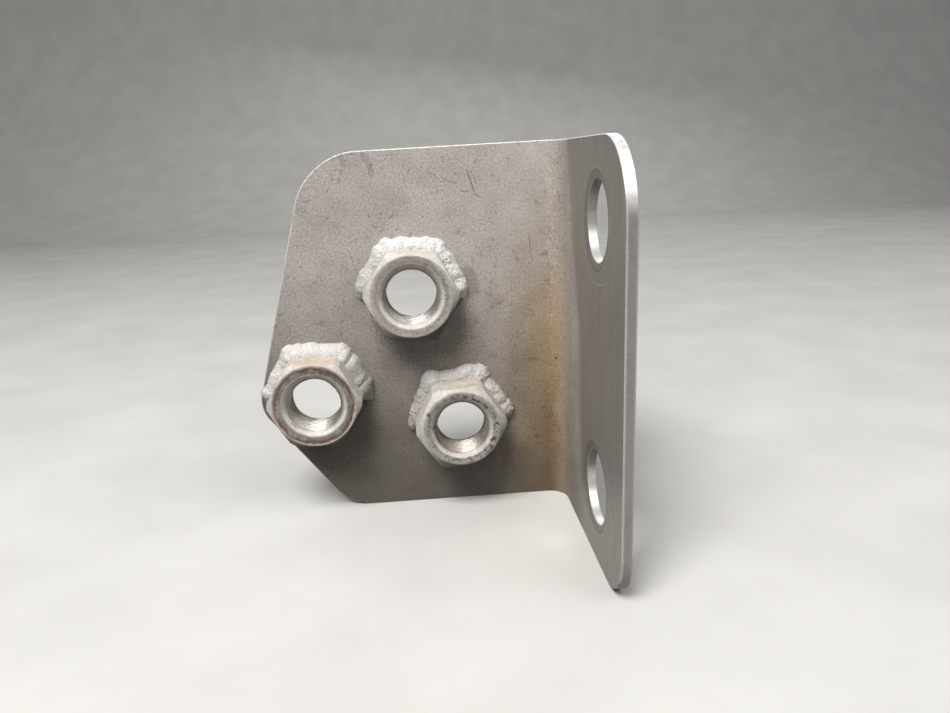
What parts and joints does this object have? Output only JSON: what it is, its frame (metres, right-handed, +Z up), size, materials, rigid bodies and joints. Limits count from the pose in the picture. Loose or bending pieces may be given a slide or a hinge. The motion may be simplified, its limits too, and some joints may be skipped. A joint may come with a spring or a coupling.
{
  "type": "electrical ground plate",
  "caption": "Right-angle sheet-steel ground plate: weld nuts on its larger leaf take ground studs, and its flange bolts to the structure.",
  "frame": {"origin": "middle of the two flange holes, on the flange's outer mounting face", "axes": "+X out of the mounting face, +Z up along the bend, -Y the side the nuts stand on"},
  "size_m": [0.0555, 0.0406, 0.0636],
  "materials": {
    "sheet": "matt bead-blasted steel, stained brown along the bend",
    "nut": "frosted steel with rust at the crown and in the thread",
    "weld": "blasted weld metal"
  },
  "bodies": {
    "root": {"ground_plate": "sheet", "weld_nut_upper": "nut", "weld_nut_left": "nut", "weld_nut_lower": "nut", "weld_bead_upper": "weld", "weld_bead_left": "weld", "weld_bead_lower": "weld"}
  },
  "joints": []
}
